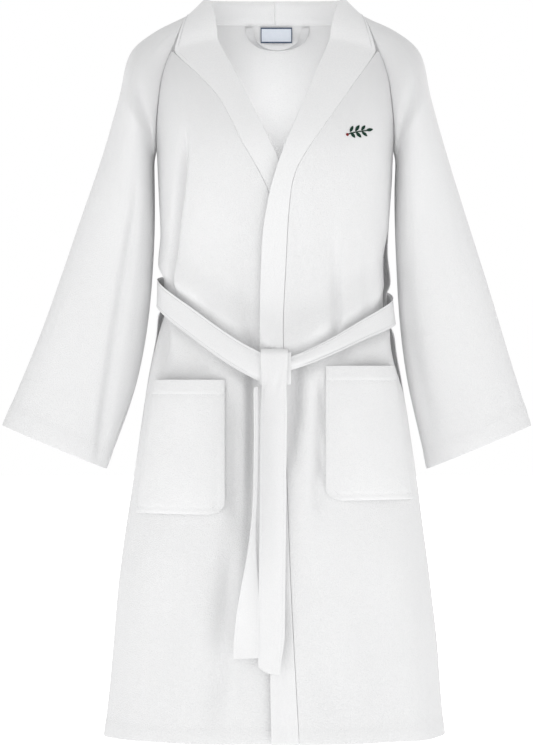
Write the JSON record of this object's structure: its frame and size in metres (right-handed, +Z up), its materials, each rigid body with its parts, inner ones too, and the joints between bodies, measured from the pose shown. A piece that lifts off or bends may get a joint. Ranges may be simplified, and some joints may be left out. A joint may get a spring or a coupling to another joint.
{
  "type": "bathrobe",
  "caption": "Knee-length wrap bathrobe in white pile cloth with raglan sleeves, banded V front, tied belt, patch pockets and a hanging loop.",
  "frame": {"origin": "middle of the back neck seam, where the robe hangs from its loop, a hook or a hanger", "axes": "+Z up along the hanging robe, +X to the wearer's left, -Y towards the front"},
  "size_m": [0.8204, 0.3363, 1.1487],
  "materials": {
    "pile_cloth": "white cotton velour pile",
    "band_cloth": "white cotton velour pile, doubled and topstitched",
    "tape": "white woven cotton tape",
    "label": "pale blue-white woven satin, plain",
    "emblem_thread": "dark green satin-stitch embroidery"
  },
  "bodies": {
    "robe": {"back_panel": "pile_cloth", "front_panel_left": "pile_cloth", "front_panel_right": "pile_cloth", "raglan_cap_left": "pile_cloth", "raglan_cap_right": "pile_cloth", "pocket_left": "pile_cloth", "pocket_right": "pile_cloth", "front_band_left": "band_cloth", "front_band_right": "band_cloth", "belt_waist": "band_cloth", "belt_knot": "band_cloth", "belt_loop_left": "tape", "belt_loop_right": "tape", "chest_emblem": "emblem_thread"},
    "sleeve_left": {"sleeve_left": "pile_cloth"},
    "sleeve_right": {"sleeve_right": "pile_cloth"},
    "tail_front": {"belt_tail_front": "band_cloth"},
    "tail_rear": {"belt_tail_rear": "band_cloth"},
    "hanging_loop": {"hanging_loop": "tape"},
    "neck_label": {"neck_label": "label"}
  },
  "joints": [
    {"name": "sleeve_left_lift", "type": "hinge", "parent": "robe", "child": "sleeve_left", "pos_m": [0.242, -0.105, -0.124], "axis": [0, -1, 0], "range_deg": [0, 45]},
    {"name": "sleeve_right_lift", "type": "hinge", "parent": "robe", "child": "sleeve_right", "pos_m": [-0.242, -0.105, -0.124], "axis": [0, 1, 0], "range_deg": [0, 45]},
    {"name": "tail_front_swing", "type": "hinge", "parent": "robe", "child": "tail_front", "pos_m": [-0.0045, -0.2545, -0.5743], "axis": [-1, 0, 0], "range_deg": [0, 80]},
    {"name": "tail_rear_swing", "type": "hinge", "parent": "robe", "child": "tail_rear", "pos_m": [-0.031, -0.266, -0.5743], "axis": [-1, 0, 0], "range_deg": [0, 80]},
    {"name": "hanging_loop_flip", "type": "hinge", "parent": "robe", "child": "hanging_loop", "pos_m": [0.004, -0.005, -0.005], "axis": [-1, 0, 0], "range_deg": [0, 125]},
    {"name": "neck_label_flip", "type": "hinge", "parent": "robe", "child": "neck_label", "pos_m": [0.0025, -0.004, -0.004], "axis": [-1, 0, 0], "range_deg": [0, 80]}
  ]
}
